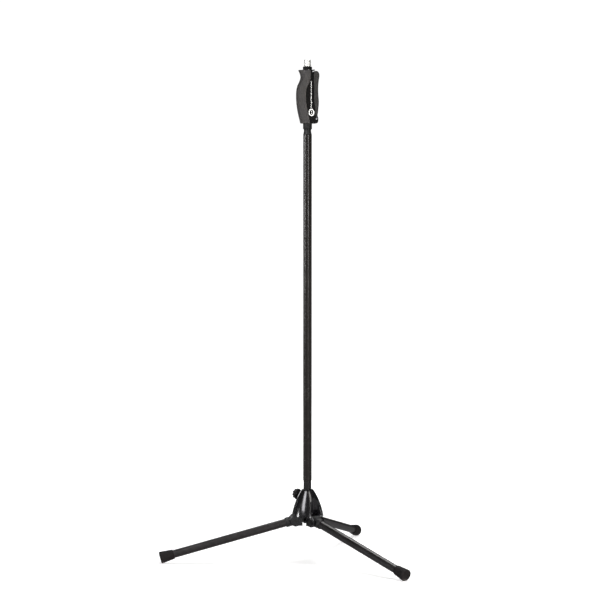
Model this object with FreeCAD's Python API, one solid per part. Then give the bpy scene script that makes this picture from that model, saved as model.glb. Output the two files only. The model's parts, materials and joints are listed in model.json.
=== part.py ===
# A one-hand microphone stand: a folding three-legged base with a die-cast bell, a column tube,
# a grip with a squeeze lever and plate clutch, and a telescoping rod with a 5/8 inch thread.
# Units are millimetres, +Z is up, and the origin is on the floor under the column's axis.
# The squeeze lever points along +X, and one leg points along -X.
import FreeCAD, Part
import math
import os

V = FreeCAD.Vector

# ---- driving dimensions -------------------------------------------------------------------
STAND_TOP = 1103.0              # top of the thread, rod retracted
LEG_AZIMUTHS = (180.0, 300.0, 60.0)
KNOB_AZIMUTH = 120.0

# legs
PIVOT_R = 28.0                  # leg pivot: distance from the column's axis
PIVOT_Z = 87.7
FOOT_R = 327.4                  # centre of the foot cap's end face
FOOT_Z = 11.5
LEG_TUBE_R = 8.75
LEG_TUBE_WALL = 1.4
LEG_FOLD = 100.0                # degrees, foot down to folded up
KNUCKLE_R = 12.2
KNUCKLE_HALF = 9.6              # half width across the slot
COLLAR_R = 10.8
COLLAR_START = 13.8             # along the leg, from the pivot
COLLAR_END = 22.0
SPIGOT_LENGTH = 25.0
RIVET_R = 1.6
RIVET_HEAD_R = 2.9
RIVET_DOME_R = 3.6
RIVET_AT = 36.0                 # along the leg, from the pivot
NOSE_HALF = 6.0
NOSE_TIP = (9.8, 98.5)          # inner top corner of the lock nose (r, z)
CAP_LENGTH = 31.0
CAP_END_R = 13.4
CAP_MOUTH_R = 10.4
CAP_ROUND = 2.0
CAP_OVERLAP = 23.0              # how far the tube reaches into the cap

# leg pivot fit
PIN_R = 3.0
PIN_HEAD_R = 4.6
PIN_HEAD = 1.8
PIN_TAIL = 2.6                  # how far the pin stands out on the clip's side
GROOVE_R = 2.4
GROOVE_WIDTH = 1.3
CLIP_R = 5.2
CLIP_THICK = 1.0
CLIP_GAP = 2.8
BUSH_OUTER_R = 4.2
RUNNING = 0.05                  # radial clearance of a running fit

# base bell
BELL_TOP = 155.6
BELL_RIM = 97.0
BELL_RIM_R = 35.8
BELL_SHOULDER = (13.8, 154.0)
BELL_SEAT = (12.6, 155.2)       # rounded edge of the flat round the lip
BELL_LIP_R = 9.8
BELL_MID = (26.5, 129.5)
BELL_WALL = 4.0
BOSS_R = 12.0                   # inner boss that guides the stub
BOSS_BOTTOM = 104.0
SLOT_HALF = 10.0
SLOT_INNER = 12.6
SLOT_TOP = 112.0
CHEEK = 5.0                     # thickness of each cheek beside a slot
MOUTH_ROUND = 2.0               # rounding of the slot mouths on the dome
MOUTH_START = 24.0              # each mouth flares from here outwards
MOUTH_END = 44.0
MOUTH_FLARE = 0.45              # side step for each step outwards
MOUTH_Z = 96.0
CLAW_R = 12.6
CLAW_ROUND = 1.2
CLAW_BOTTOM = 76.6
CLAW_TOP = 99.0                 # inside the bell, below a folded leg's collar
CLAW_INNER = 13.0

# base clamp
CLAMP_Z = 141.0
CLAMP_BOSS_R = 7.2
CLAMP_BOSS_END = 28.4
CLAMP_SCREW_R = 3.0
CLAMP_INSERT_R = 4.6
KNOB_R = 12.0
KNOB_START = 29.4
KNOB_END = 40.4

# column
STUB_R = 8.6
STUB_BOTTOM = 102.5
STUB_TOP = 176.0                # the main tube's lower end
STUB_BORE = 5.0
PLUG_LENGTH = 8.0
TUBE_R = 9.5
TUBE_BORE = 7.8
TUBE_TOP = 939.0
SPIGOT_IN_TUBE = 30.0
COLLAR_NECK_R = 8.0
COLLAR_FLANGE_R = 9.9           # the sleeve below the grip
COLLAR_TOP_R = 9.1              # the sleeve inside it
COLLAR_BORE = 7.4
COLLAR_SPIGOT = 24.0
LOWER_BUSH_BOTTOM = 955.0
HOUSING_SOCKET_TOP = 988.0

# rod
ROD_R = 6.25
ROD_WALL = 1.2
ROD_BOTTOM = 216.0
GLIDE_R = 7.6
GLIDE_LENGTH = 12.0
THREAD_R = 7.9375               # 5/8 inch major diameter
THREAD_LEAD = 0.9
THREAD_RELIEF_R = 7.1           # undercut below the thread, inside the ring
STUD_SPIGOT = 24.0              # how far the stud reaches into the rod
STUD_HOLE_R = 2.5
RING_R = 10.1
RING_BOTTOM = 1081.0
RING_TOP = 1088.0

# grip
GRIP_BOTTOM = 964.0
GRIP_TOP = 1080.6
HOUSING_HALF = 10.5             # half thickness of the housing
HOUSING_LEFT = -11.5
CAVITY_HALF = 9.0
CAVITY_SPAN = (1030.0, 1064.0)
RIB_HALF = 7.7                  # the housing's tongue inside the lever
RIB_REACH = 15.4
RIB_SPAN = (992.0, 1073.0)
RIB_NECK = 10.2                 # the tongue above that, beside the lever's open top
SHELF_Z = 1079.4                # the housing's ledge over the lever
LEVER_OPEN_X = 15.0             # the lever's top is open as far as this
CHANNEL_HALF = 5.4              # the slot in the tongue for the clutch plates
UPPER_BUSH_R = 7.2
UPPER_BUSH_SPAN = (1066.0, 1079.0)
SCREW_PLACES = ((9.0, 1024.0), (9.4, 1003.0))
SCREW_R = 1.4
SCREW_HEAD_R = 2.2
SCREW_HEAD = 1.6
PALM_HALF_WIDTH = 15.0
PALM_FRONT = 13.0               # the palm section's reach towards the lever
LEVER_HALF = 10.4
LEVER_INSIDE_HALF = 8.2
LEVER_ROUND = 3.2
LEVER_PIN = (18.5, 973.8)       # (x, z)
LEVER_PIN_R = 2.0
LEVER_FOOT_R = 4.4
FORK_TOP = 987.0                # the housing's slot for the lever's foot
LEVER_SPRING_R = 2.6
LEVER_SPRING_LENGTH = 4.4
LEVER_SPRING_X = 15.8
LEVER_SPRING_Z = 1014.0
PLATE_SPRING_R = 7.9

# clutch plates
PLATE_Z = 1041.4                # middle of the pair
PLATE_PITCH = 2.8
PLATE_THICK = 2.4
PLATE_LEFT = -9.2
PLATE_RIGHT = 15.5
PLATE_HALF = 8.0
PLATE_TILT = 5.0
PLATE_TONGUE_HALF = 4.8         # half width of the end that the lever lifts
PLATE_HOLE_R = 6.6

LEG_RUN = FOOT_R - PIVOT_R
LEG_LENGTH = math.hypot(LEG_RUN, PIVOT_Z - FOOT_Z)
LEG_SLOPE = math.degrees(math.atan2(PIVOT_Z - FOOT_Z, LEG_RUN))

# Palm grip: how far its back stands out from the axis at each height (z, reach).
PALM_BACK = (
    (GRIP_BOTTOM, 15.9), (972.0, 17.9), (981.0, 20.2), (992.0, 22.5), (1006.0, 24.5),
    (1022.0, 25.4), (1036.0, 24.8), (1046.0, 22.5), (1055.0, 18.4), (1064.0, 15.7),
    (1072.0, 17.0), (1077.5, 19.4), (GRIP_TOP, 20.6),
)
# Palm grip: its edge towards the lever (z, x), curved back at mid height.
PALM_EDGE = (
    (GRIP_BOTTOM - 1, 3.6), (978.0, 1.6), (992.0, -1.6), (1008.0, -4.4), (1024.0, -5.4),
    (1040.0, -3.6), (1052.0, 1.6), (1060.0, 4.8), (1070.0, 5.7), (GRIP_TOP + 1, 5.7),
)
# Lever: its finger side (x, z), from the foot up and over the rounded top.
LEVER_OUTSIDE = (
    (20.9, 981.6), (22.2, 988.0), (23.2, 998.0), (24.0, 1006.0), (23.7, 1018.0), (22.9, 1030.0),
    (22.8, 1042.0), (23.5, 1054.0), (24.9, 1064.0), (25.2, 1071.0), (22.8, 1076.6), (17.5, 1078.8),
)
# Lever: its body side (x, z), from the top down.
LEVER_INSIDE = (
    (13.4, 1078.0), (12.4, 1074.0), (12.4, 1060.0), (13.2, 1040.0), (13.4, 1015.0),
    (15.8, 990.0), (15.8, 981.6),
)
# Grip housing, seen from the side (x, z).
HOUSING_OUTLINE = (
    (HOUSING_LEFT, GRIP_BOTTOM), (19.4, GRIP_BOTTOM), (21.8, 966.4), (22.6, 971.5), (22.3, 976.2),
    (20.8, 980.4), (15.0, 980.4), (14.4, 992.0), (12.2, 1004.0), (7.9, 1070.0), (7.9, 1077.0), (9.0, SHELF_Z),
    (15.0, SHELF_Z), (15.0, 1081.4), (10.6, 1081.4), (10.0, GRIP_TOP), (HOUSING_LEFT, GRIP_TOP),
)


# ---- helpers ------------------------------------------------------------------------------
def cylinder(radius, z0, z1, x=0.0, y=0.0):
    """An upright cylinder between two heights."""
    return Part.makeCylinder(radius, z1 - z0, V(x, y, z0))


def tube(outer, inner, z0, z1):
    """An upright tube between two heights."""
    return cylinder(outer, z0, z1).cut(cylinder(inner, z0 - 1, z1 + 1))


def rod_along_y(radius, x, z, y0, y1):
    """A cylinder across the grip or the leg, along Y."""
    return Part.makeCylinder(radius, y1 - y0, V(x, y0, z), V(0, 1, 0))


def rod_along_x(radius, x0, x1, z):
    """A cylinder that points away from the column along X."""
    return Part.makeCylinder(radius, x1 - x0, V(x0, 0, z), V(1, 0, 0))


def block(x0, x1, y0, y1, z0, z1):
    """A box between two corners."""
    return Part.makeBox(x1 - x0, y1 - y0, z1 - z0, V(x0, y0, z0))


def revolve(edges):
    """A solid of revolution about Z from a closed outline of edges in the XZ plane."""
    face = Part.Face(Part.Wire(Part.__sortEdges__(edges)))
    return face.revolve(V(0, 0, 0), V(0, 0, 1), 360)


def lines(points):
    """Straight edges through (x, z) points, closed."""
    corners = [V(x, 0, z) for x, z in points]
    return [Part.makeLine(a, b) for a, b in zip(corners, corners[1:] + corners[:1])]


def spline(points):
    """A smooth edge through (x, z) points."""
    curve = Part.BSplineCurve()
    curve.interpolate([V(x, 0, z) for x, z in points])
    return curve.toShape()


def arc(a, b, c):
    """A circular edge through three (x, z) points."""
    return Part.Arc(*(V(x, 0, z) for x, z in (a, b, c))).toShape()


def plate(edges, y0, y1):
    """A flat piece: a closed outline in the XZ plane, thick from y0 to y1."""
    face = Part.Face(Part.Wire(Part.__sortEdges__(edges)))
    face.translate(V(0, y0, 0))
    return face.extrude(V(0, y1 - y0, 0))


def turned(shape, azimuth):
    """A copy turned about the column's axis."""
    copy = shape.copy()
    copy.rotate(V(0, 0, 0), V(0, 0, 1), azimuth)
    return copy


def coil(radius, wire, z0, z1, turns):
    """A compression spring about Z, from z0 to z1 over its wire."""
    height = z1 - z0 - 2 * wire
    helix = Part.makeHelix(height / turns, height, radius)
    section = Part.Wire(Part.makeCircle(wire, V(radius, 0, 0), V(0, 1, 0)))
    spring = Part.Wire(helix.Edges).makePipeShell([section], True, True)
    spring.translate(V(0, 0, z0 + wire))
    return spring


def fluted(radius, length, flutes, depth_r, sink):
    """A round bar about Z with scooped flutes along its rim. sink is how deep the scoops go."""
    bar = Part.makeCylinder(radius, length)
    bar = bar.makeChamfer(0.8, [e for e in bar.Edges if abs(e.Length - 2 * math.pi * radius) < 0.01])
    for i in range(flutes):
        angle = 2 * math.pi * i / flutes
        reach = radius + depth_r - sink
        place = V(reach * math.cos(angle), reach * math.sin(angle), -1)
        scoop = Part.makeCylinder(depth_r, length + 2, place)
        bar = bar.cut(scoop)
    return bar


def save(name, shape):
    """Writes one node's STEP file."""
    shape.exportStep(f"parts/{name}.step")


# ---- base ---------------------------------------------------------------------------------
def bell_outside():
    """The bell's outer body, solid, from the rim up to the lip round the stub."""
    outline = [
        Part.makeLine(V(0, 0, BELL_RIM), V(BELL_RIM_R, 0, BELL_RIM)),
        arc((BELL_RIM_R, BELL_RIM), BELL_MID, BELL_SHOULDER),
        Part.makeLine(V(BELL_SHOULDER[0], 0, BELL_SHOULDER[1]), V(BELL_SEAT[0], 0, BELL_SEAT[1])),
        Part.makeLine(V(BELL_SEAT[0], 0, BELL_SEAT[1]), V(BELL_LIP_R, 0, BELL_TOP)),
        Part.makeLine(V(BELL_LIP_R, 0, BELL_TOP), V(0, 0, BELL_TOP)),
        Part.makeLine(V(0, 0, BELL_TOP), V(0, 0, BELL_RIM)),
    ]
    return revolve(outline)


def bell_pockets():
    """The hollows under the three lobes, beside the cheeks and round the guide boss."""
    inner_rim = BELL_RIM_R - BELL_WALL
    below = BELL_RIM - 1
    outline = [
        Part.makeLine(V(BOSS_R, 0, below), V(inner_rim, 0, below)),
        Part.makeLine(V(inner_rim, 0, below), V(inner_rim, 0, BELL_RIM)),
        arc((inner_rim, BELL_RIM), (BELL_MID[0] - BELL_WALL, BELL_MID[1] - 2), (BOSS_R, 143.0)),
        Part.makeLine(V(BOSS_R, 0, 143.0), V(BOSS_R, 0, below)),
    ]
    hollow = revolve(outline)
    slab_half = SLOT_HALF + CHEEK
    for azimuth in LEG_AZIMUTHS:
        hollow = hollow.cut(turned(block(0, 60, -slab_half, slab_half, 80, 160), azimuth))
    return hollow


def leg_slot():
    """What is cut from the bell for one leg: the slot, the folded tube's path and the flared mouth."""
    slot = block(0, 60, -SLOT_HALF, SLOT_HALF, 60, BOSS_BOTTOM)
    slot = slot.fuse(block(SLOT_INNER, 60, -SLOT_HALF, SLOT_HALF, 60, SLOT_TOP))
    lean = math.radians(LEG_FOLD - LEG_SLOPE)
    path = Part.makeCylinder(
        LEG_TUBE_R + 1.1, 90, V(PIVOT_R, 0, PIVOT_Z), V(math.cos(lean), 0, math.sin(lean))
    )
    spread = SLOT_HALF + MOUTH_FLARE * (MOUTH_END - MOUTH_START)
    corners = (
        V(MOUTH_START, -SLOT_HALF, MOUTH_Z), V(MOUTH_END, -spread, MOUTH_Z),
        V(MOUTH_END, spread, MOUTH_Z), V(MOUTH_START, SLOT_HALF, MOUTH_Z),
    )
    mouth = Part.Face(Part.makePolygon(corners + corners[:1])).extrude(V(0, 0, 40))
    return slot.fuse(path).fuse(mouth)


def leg_claws():
    """The two cheeks that hold one leg's pin, below the bell's rim."""
    claws = None
    for low in (-SLOT_HALF - CHEEK, SLOT_HALF):
        disc = rod_along_y(CLAW_R, PIVOT_R, PIVOT_Z, low, low + CHEEK)
        web = block(CLAW_INNER, PIVOT_R, low, low + CHEEK, CLAW_BOTTOM, CLAW_TOP)
        one = disc.fuse(web).removeSplitter()
        far = max(one.Faces, key=lambda face: abs(face.CenterOfMass.y))
        one = one.makeFillet(CLAW_ROUND, far.Edges)
        claws = one if claws is None else claws.fuse(one)
    return claws


def base_casting():
    """The die-cast bell."""
    body = bell_outside().cut(bell_pockets())
    for azimuth in LEG_AZIMUTHS:
        body = body.cut(turned(leg_slot(), azimuth))
    body = body.removeSplitter()
    dome = max(body.Faces, key=lambda face: face.Area)
    body = body.makeFillet(MOUTH_ROUND, [e for e in dome.Edges if e.BoundBox.ZLength > 3])
    for azimuth in LEG_AZIMUTHS:
        body = body.fuse(turned(leg_claws(), azimuth))
    throat = cylinder(BOSS_R + 0.2, 60, BOSS_BOTTOM)
    body = body.cut(throat)
    body = body.fuse(turned(rod_along_x(CLAMP_BOSS_R, STUB_R, CLAMP_BOSS_END, CLAMP_Z), KNOB_AZIMUTH))
    body = body.cut(cylinder(STUB_R + RUNNING, 60, BELL_TOP + 1))
    body = body.cut(turned(rod_along_x(CLAMP_SCREW_R + 0.3, 0, 40, CLAMP_Z), KNOB_AZIMUTH))
    body = body.cut(turned(rod_along_x(CLAMP_INSERT_R, 14.0, 40, CLAMP_Z), KNOB_AZIMUTH))
    for azimuth in LEG_AZIMUTHS:
        body = body.cut(turned(rod_along_y(PIN_R, PIVOT_R, PIVOT_Z, -40, 40), azimuth))
    return body.removeSplitter()


def leg_pin():
    """A leg's pivot pin with its flat head, ahead of its clip groove."""
    outer = SLOT_HALF + CHEEK
    shank = rod_along_y(PIN_R, PIVOT_R, PIVOT_Z, -outer - PIN_TAIL, outer)
    head = rod_along_y(PIN_HEAD_R, PIVOT_R, PIVOT_Z, outer, outer + PIN_HEAD)
    groove = rod_along_y(PIN_R + 1, PIVOT_R, PIVOT_Z, -outer - GROOVE_WIDTH, -outer)
    core = rod_along_y(GROOVE_R, PIVOT_R, PIVOT_Z, -outer - GROOVE_WIDTH, -outer)
    return shank.fuse(head).cut(groove.cut(core)).removeSplitter()


def pin_clip():
    """The open ring that sits in a leg pin's groove."""
    near = -SLOT_HALF - CHEEK - 0.1
    disc = rod_along_y(CLIP_R, PIVOT_R, PIVOT_Z, near - CLIP_THICK, near)
    hole = rod_along_y(GROOVE_R, PIVOT_R, PIVOT_Z, near - 2, near + 1)
    half = CLIP_GAP / 2
    gap = block(PIVOT_R, PIVOT_R + 9, near - 2, near + 1, PIVOT_Z - half, PIVOT_Z + half)
    return disc.cut(hole).cut(gap)


def make_base():
    save("base_casting", base_casting())
    for number, azimuth in enumerate(LEG_AZIMUTHS, 1):
        save(f"leg_pin_{number}", turned(leg_pin(), azimuth))
    save("pin_clips", Part.makeCompound([turned(pin_clip(), azimuth) for azimuth in LEG_AZIMUTHS]))
    insert = rod_along_x(CLAMP_INSERT_R, 14.0, CLAMP_BOSS_END, CLAMP_Z)
    insert = insert.cut(rod_along_x(CLAMP_SCREW_R + RUNNING, 0, 40, CLAMP_Z))
    save("thread_insert", turned(insert, KNOB_AZIMUTH))
    pad = rod_along_x(CLAMP_SCREW_R + 0.3, 0, 10.4, CLAMP_Z).cut(cylinder(STUB_R + 0.35, 130, 155))
    save("brake_pad", turned(pad, KNOB_AZIMUTH))


def make_clamp():
    """The clamp knob and its screw, pointing away from the column."""
    screw = rod_along_x(CLAMP_SCREW_R, 10.8, KNOB_END - 4, CLAMP_Z)
    screw = screw.makeChamfer(0.5, [e for e in screw.Edges if e.Closed and e.BoundBox.XMax < 11])
    knob = fluted(KNOB_R, KNOB_END - KNOB_START, 10, 3.0, 1.1)
    knob.rotate(V(0, 0, 0), V(0, 1, 0), 90)
    knob.translate(V(KNOB_START, 0, CLAMP_Z))
    knob = knob.cut(rod_along_x(CLAMP_SCREW_R, 0, KNOB_END - 4, CLAMP_Z))
    save("clamp_screw", turned(screw, KNOB_AZIMUTH))
    save("clamp_knob", turned(knob, KNOB_AZIMUTH))


# ---- legs ---------------------------------------------------------------------------------
# A leg's pieces are drawn lying along +X from a pivot at the origin, then tipped down by the slope.
def tipped(shape):
    """Moves a piece drawn along +X from the origin to its place on the leg that points along +X."""
    copy = shape.copy()
    copy.rotate(V(0, 0, 0), V(0, 1, 0), LEG_SLOPE)
    copy.translate(V(PIVOT_R, 0, PIVOT_Z))
    return copy


def leg_root():
    """The cast knuckle: a disc on the pin, a collar and a spigot for the tube, and the lock nose."""
    disc = rod_along_y(KNUCKLE_R, 0, 0, -KNUCKLE_HALF, KNUCKLE_HALF)
    disc = disc.makeFillet(0.8, [e for e in disc.Edges if e.Closed])
    neck = block(0, COLLAR_START + 1, -KNUCKLE_HALF, KNUCKLE_HALF, -9.4, 9.4)
    neck = neck.common(rod_along_x(11.6, -1, COLLAR_START + 1, 0))
    collar = rod_along_x(COLLAR_R, COLLAR_START, COLLAR_END, 0)
    collar = collar.makeChamfer(1.2, [e for e in collar.Edges if e.Closed])
    spigot = rod_along_x(LEG_TUBE_R - LEG_TUBE_WALL, COLLAR_END - 1, COLLAR_END + SPIGOT_LENGTH, 0)
    root = tipped(disc.fuse(neck).fuse(collar).fuse(spigot))
    tip_r, tip_z = NOSE_TIP
    outline = [
        (tip_r, tip_z), (PIVOT_R, tip_z + 1.5), (PIVOT_R, PIVOT_Z - 8), (tip_r + 6, 79.0), (tip_r, 84.0),
    ]
    nose = plate(lines(outline), -NOSE_HALF, NOSE_HALF)
    root = root.fuse(nose)
    root = root.cut(rod_along_y(BUSH_OUTER_R, PIVOT_R, PIVOT_Z, -20, 20))
    return root.removeSplitter()


def foot_cap():
    """The rubber cap: a cone over the tube's end, cut level where it meets the floor."""
    start = LEG_LENGTH - CAP_LENGTH
    cone = Part.makeCone(CAP_MOUTH_R, CAP_END_R, CAP_LENGTH, V(start, 0, 0), V(1, 0, 0))
    rims = [e for e in cone.Edges if e.Closed]
    cone = cone.makeFillet(CAP_ROUND, [max(rims, key=lambda e: e.Length)])
    cone = cone.cut(rod_along_x(LEG_TUBE_R, start - 1, start + CAP_OVERLAP, 0))
    return tipped(cone).cut(block(0, 400, -30, 30, -20, 0))


def make_legs():
    tube_end = LEG_LENGTH - CAP_LENGTH + CAP_OVERLAP
    leg_tube = rod_along_x(LEG_TUBE_R, COLLAR_END, tube_end, 0)
    leg_tube = leg_tube.cut(rod_along_x(LEG_TUBE_R - LEG_TUBE_WALL, 0, tube_end + 1, 0))
    rivet_hole = rod_along_y(RIVET_R, RIVET_AT, 0, -20, 20)
    rivet = rod_along_y(RIVET_R, RIVET_AT, 0, -LEG_TUBE_R + 0.2, LEG_TUBE_R - 0.2)
    for side in (-1, 1):
        dome = Part.makeSphere(RIVET_DOME_R, V(RIVET_AT, side * (LEG_TUBE_R - RIVET_HEAD_R), 0))
        middle = side * (LEG_TUBE_R - 0.5)
        slab = rod_along_y(RIVET_HEAD_R, RIVET_AT, 0, middle - 0.9, middle + 0.9)
        rivet = rivet.fuse(dome.common(slab).cut(rod_along_x(LEG_TUBE_R, 0, 100, 0)))
    root = leg_root().cut(tipped(rivet_hole))
    bush = rod_along_y(BUSH_OUTER_R, PIVOT_R, PIVOT_Z, -KNUCKLE_HALF, KNUCKLE_HALF)
    bush = bush.cut(rod_along_y(PIN_R + RUNNING, PIVOT_R, PIVOT_Z, -20, 20))
    pieces = {
        "leg_root": root,
        "leg_bush": bush,
        "leg_tube": tipped(leg_tube.cut(rivet_hole)),
        "leg_rivet": tipped(rivet),
        "foot_cap": foot_cap(),
    }
    for number, azimuth in enumerate(LEG_AZIMUTHS, 1):
        for name, shape in pieces.items():
            save(f"{name}_{number}", turned(shape, azimuth))


# ---- column -------------------------------------------------------------------------------
def column_collar():
    """The black collar on the main tube: a spigot inside it, a narrow neck, and a sleeve into the grip."""
    outline = lines([
        (COLLAR_BORE, TUBE_TOP - COLLAR_SPIGOT), (TUBE_BORE, TUBE_TOP - COLLAR_SPIGOT), (TUBE_BORE, TUBE_TOP),
        (TUBE_R, TUBE_TOP), (COLLAR_NECK_R, 946.6), (COLLAR_NECK_R, 951.0), (COLLAR_FLANGE_R, 951.8),
        (COLLAR_FLANGE_R, GRIP_BOTTOM), (COLLAR_TOP_R, GRIP_BOTTOM), (COLLAR_TOP_R, HOUSING_SOCKET_TOP),
        (COLLAR_BORE, HOUSING_SOCKET_TOP),
    ])
    return revolve(outline)


def make_column():
    stub = cylinder(STUB_R, STUB_BOTTOM, STUB_TOP)
    stub = stub.fuse(cylinder(TUBE_BORE, STUB_TOP, STUB_TOP + SPIGOT_IN_TUBE))
    stub = stub.cut(cylinder(STUB_BORE, 0, 300)).removeSplitter()
    save("column_stub", stub)
    save("stub_plug", cylinder(STUB_BORE, STUB_BOTTOM, STUB_BOTTOM + PLUG_LENGTH))
    save("column_tube", tube(TUBE_R, TUBE_BORE, STUB_TOP, TUBE_TOP))
    save("column_collar", column_collar())
    save("lower_bush", tube(COLLAR_BORE, ROD_R + RUNNING, LOWER_BUSH_BOTTOM, HOUSING_SOCKET_TOP))


# ---- grip ---------------------------------------------------------------------------------
def housing_solid():
    """Both grip housings as one, before they are split at the middle."""
    body = plate(lines(HOUSING_OUTLINE), -HOUSING_HALF, HOUSING_HALF)
    body = body.fuse(block(0, RIB_REACH, -RIB_HALF, RIB_HALF, *RIB_SPAN))
    body = body.fuse(block(0, RIB_NECK, -RIB_HALF, RIB_HALF, RIB_SPAN[1], SHELF_Z))
    body = body.cut(cylinder(COLLAR_TOP_R, 900, HOUSING_SOCKET_TOP))
    body = body.cut(cylinder(ROD_R + 0.6, 900, 1200))
    body = body.cut(cylinder(UPPER_BUSH_R, *UPPER_BUSH_SPAN))
    chamber = block(-10.0, 8.8, -CAVITY_HALF, CAVITY_HALF, *CAVITY_SPAN)
    chamber = chamber.cut(block(6.9, 8.8, -CAVITY_HALF, -RIB_HALF, *CAVITY_SPAN))
    chamber = chamber.cut(block(6.9, 8.8, RIB_HALF, CAVITY_HALF, *CAVITY_SPAN))
    chamber = chamber.fuse(block(8.0, 20.0, -CHANNEL_HALF, CHANNEL_HALF, *CAVITY_SPAN))
    fork = block(12.6, 30.0, -LEVER_INSIDE_HALF - 0.3, LEVER_INSIDE_HALF + 0.3, 960, FORK_TOP)
    body = body.cut(chamber).cut(fork)
    return body.cut(rod_along_y(LEVER_PIN_R, LEVER_PIN[0], LEVER_PIN[1], -20, 20))


def palm_section(height, reach):
    """One closed outline of the palm grip's outside: full towards the palm, shallow towards the lever."""
    points = []
    for i in range(16):
        angle = 2 * math.pi * i / 16
        side = PALM_FRONT if math.cos(angle) > 0 else reach
        points.append(V(side * math.cos(angle), PALM_HALF_WIDTH * math.sin(angle), height))
    curve = Part.BSplineCurve()
    curve.interpolate(Points=points, PeriodicFlag=True)
    return Part.Wire(curve.toShape())


def palm_grip():
    """The soft cover that fills the palm: a lofted body, hollowed for the housings."""
    body = Part.makeLoft([palm_section(z, reach) for z, reach in PALM_BACK], True, False)
    edge = [(x, z) for z, x in PALM_EDGE]
    beyond = [
        Part.makeLine(V(edge[-1][0], 0, edge[-1][1]), V(40, 0, edge[-1][1])),
        Part.makeLine(V(40, 0, edge[-1][1]), V(40, 0, edge[0][1])),
        Part.makeLine(V(40, 0, edge[0][1]), V(edge[0][0], 0, edge[0][1])),
    ]
    body = body.cut(plate([spline(edge)] + beyond, -30, 30))
    return body.cut(block(HOUSING_LEFT, 40, -HOUSING_HALF, HOUSING_HALF, 900, 1200))


def lever_outline():
    """The lever's outline, seen from the side."""
    outside = spline(LEVER_OUTSIDE)
    inside = [LEVER_OUTSIDE[-1], *LEVER_INSIDE, LEVER_OUTSIDE[0]]
    straights = [Part.makeLine(V(a[0], 0, a[1]), V(b[0], 0, b[1])) for a, b in zip(inside, inside[1:])]
    return [outside] + straights


def lever():
    """The finger lever: a channel open towards the housing, a hinge foot and a ramp for the plates."""
    body = plate(lever_outline(), -LEVER_HALF, LEVER_HALF)
    rims = [e for e in body.Edges if e.Length > 90 and e.BoundBox.YLength < 0.1 and e.BoundBox.XMax > 20]
    body = body.makeFillet(LEVER_ROUND, rims)
    hollow = plate(lever_outline(), -LEVER_INSIDE_HALF, LEVER_INSIDE_HALF)
    for shift in (-2.6, -8.0):
        moved = hollow.copy()
        moved.translate(V(shift, 0, -2.2))
        body = body.cut(moved)
    body = body.cut(block(0, LEVER_OPEN_X, -LEVER_INSIDE_HALF, LEVER_INSIDE_HALF, 1070, 1090))
    pin_x, pin_z = LEVER_PIN
    foot = rod_along_y(LEVER_FOOT_R, pin_x, pin_z, -LEVER_INSIDE_HALF, LEVER_INSIDE_HALF)
    stem = block(pin_x - LEVER_FOOT_R, pin_x + 2.6, -LEVER_INSIDE_HALF, LEVER_INSIDE_HALF, pin_z, 985)
    wedge = [(13.6, 1031.0), (22.0, 1031.0), (22.0, 1038.6), (16.0, 1036.2), (13.6, 1035.2)]
    ramp = plate(lines(wedge), -4, 4)
    body = body.fuse(foot).fuse(stem).fuse(ramp)
    body = body.cut(rod_along_y(LEVER_PIN_R + RUNNING, pin_x, pin_z, -20, 20))
    return body.removeSplitter()


def clutch_plates():
    """Two plates round the rod, tilted so that their holes bite it."""
    plates = []
    for side in (-0.5, 0.5):
        height = PLATE_Z + side * PLATE_PITCH
        half = PLATE_THICK / 2
        one = block(PLATE_LEFT, PLATE_RIGHT, -PLATE_HALF, PLATE_HALF, height - half, height + half)
        for low, high in ((-PLATE_HALF, -PLATE_TONGUE_HALF), (PLATE_TONGUE_HALF, PLATE_HALF)):
            one = one.cut(block(6.0, PLATE_RIGHT, low, high, height - 5, height + 5))
        one = one.cut(cylinder(PLATE_HOLE_R, height - 5, height + 5))
        one.rotate(V(0, 0, height), V(0, 1, 0), PLATE_TILT)
        plates.append(one)
    return Part.makeCompound(plates)


def grip_screws():
    """The screws that hold the two housings, from the rear."""
    screws = []
    for x, z in SCREW_PLACES:
        top = HOUSING_HALF - 0.2
        shank = rod_along_y(SCREW_R, x, z, -7.0, top)
        head = rod_along_y(SCREW_HEAD_R, x, z, top - SCREW_HEAD, top)
        screws.append(shank.fuse(head).removeSplitter())
    return screws


def make_grip():
    whole = housing_solid()
    screws = grip_screws()
    for screw in screws:
        whole = whole.cut(screw)
    for x, z in SCREW_PLACES:
        seat = HOUSING_HALF - 0.2 - SCREW_HEAD
        whole = whole.cut(rod_along_y(SCREW_HEAD_R, x, z, seat, HOUSING_HALF + 1))
    save("housing_front", whole.common(block(-50, 50, -50, 0, 900, 1200)))
    save("housing_rear", whole.common(block(-50, 50, 0, 50, 900, 1200)))
    save("grip_screws", Part.makeCompound(screws))
    save("palm_grip", palm_grip())
    save("upper_bush", tube(UPPER_BUSH_R, ROD_R + RUNNING, *UPPER_BUSH_SPAN))
    save("lever_pin", rod_along_y(LEVER_PIN_R, LEVER_PIN[0], LEVER_PIN[1], -HOUSING_HALF, HOUSING_HALF))
    save("lever", lever())
    save("clutch_plates", clutch_plates())
    save("plate_spring", coil(PLATE_SPRING_R, 0.6, PLATE_Z + 4.2, CAVITY_SPAN[1], 5))
    lever_spring = coil(LEVER_SPRING_R, 0.4, 0, LEVER_SPRING_LENGTH, 3)
    lever_spring.rotate(V(0, 0, 0), V(0, 1, 0), 90)
    lever_spring.translate(V(LEVER_SPRING_X, 0, LEVER_SPRING_Z))
    save("lever_spring", lever_spring)


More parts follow.
